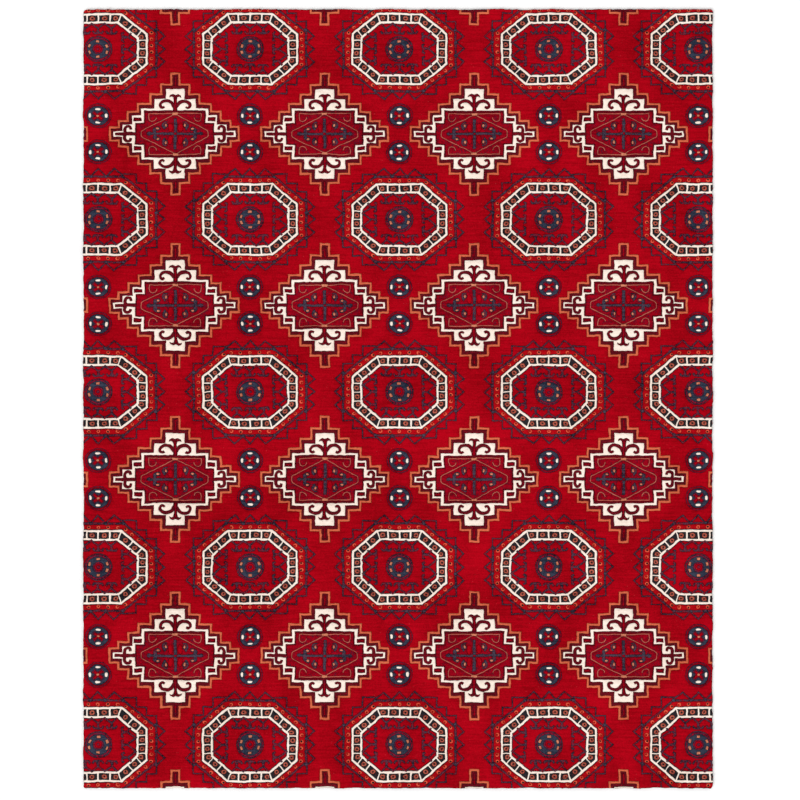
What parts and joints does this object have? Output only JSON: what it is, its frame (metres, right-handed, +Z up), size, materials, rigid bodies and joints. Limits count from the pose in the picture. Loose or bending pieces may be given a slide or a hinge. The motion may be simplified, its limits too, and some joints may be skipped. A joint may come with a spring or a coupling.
{
  "type": "area rug",
  "caption": "Rectangular hand-tufted wool area rug with a red ground, ivory-bordered octagons and stepped diamonds, on a cotton backing.",
  "frame": {"origin": "on the floor, under the middle of the rug's rectangle", "axes": "+Z up out of the pile, +Y along the rug's length towards its head edge, +X along its width"},
  "size_m": [2.44, 3.02, 0.0145],
  "materials": {
    "wool_red": "cut wool pile, crimson ground with slight dye variation",
    "wool_ivory": "cut wool pile, ivory",
    "wool_navy": "cut wool pile, slate navy",
    "wool_maroon": "cut wool pile, dark wine",
    "wool_terracotta": "cut wool pile, burnt orange",
    "cotton_cloth": "unbleached plain-weave cotton",
    "latex": "dried latex adhesive, matt",
    "cotton_scrim": "open cotton gauze set in the adhesive",
    "cotton_canvas": "unbleached cotton canvas",
    "hem_tape": "cotton twill tape"
  },
  "bodies": {
    "root": {"ground_pile": "wool_red", "octagon_medallion_r1c1": "wool_ivory", "octagon_medallion_r1c2": "wool_ivory", "octagon_medallion_r1c3": "wool_ivory", "octagon_medallion_r1c4": "wool_ivory", "octagon_medallion_r1c5": "wool_ivory", "octagon_medallion_r2c1": "wool_ivory", "octagon_medallion_r2c2": "wool_ivory", "octagon_medallion_r2c3": "wool_ivory", "octagon_medallion_r2c4": "wool_ivory", "octagon_medallion_r2c5": "wool_ivory", "octagon_medallion_r3c1": "wool_ivory", "octagon_medallion_r3c2": "wool_ivory", "octagon_medallion_r3c3": "wool_ivory", "octagon_medallion_r3c4": "wool_ivory", "octagon_medallion_r3c5": "wool_ivory", "octagon_medallion_r4c1": "wool_ivory", "octagon_medallion_r4c2": "wool_ivory", "octagon_medallion_r4c3": "wool_ivory", "octagon_medallion_r4c4": "wool_ivory", "octagon_medallion_r4c5": "wool_ivory", "octagon_medallion_r5c1": "wool_ivory", "octagon_medallion_r5c2": "wool_ivory", "octagon_medallion_r5c3": "wool_ivory", "octagon_medallion_r5c4": "wool_ivory", "octagon_medallion_r5c5": "wool_ivory", "diamond_medallion_r1c1": "wool_terracotta", "diamond_medallion_r1c2": "wool_terracotta", "diamond_medallion_r1c3": "wool_terracotta", "diamond_medallion_r1c4": "wool_terracotta", "diamond_medallion_r2c1": "wool_terracotta", "diamond_medallion_r2c2": "wool_terracotta", "diamond_medallion_r2c3": "wool_terracotta", "diamond_medallion_r2c4": "wool_terracotta", "diamond_medallion_r3c1": "wool_terracotta", "diamond_medallion_r3c2": "wool_terracotta", "diamond_medallion_r3c3": "wool_terracotta", "diamond_medallion_r3c4": "wool_terracotta", "diamond_medallion_r4c1": "wool_terracotta", "diamond_medallion_r4c2": "wool_terracotta", "diamond_medallion_r4c3": "wool_terracotta", "diamond_medallion_r4c4": "wool_terracotta", "primary_cloth": "cotton_cloth", "latex_coat": "latex", "scrim_net": "cotton_scrim", "backing_cloth": "cotton_canvas", "hem_tape_head": "hem_tape", "hem_tape_left": "hem_tape", "hem_tape_foot": "hem_tape", "hem_tape_right": "hem_tape"}
  },
  "joints": []
}
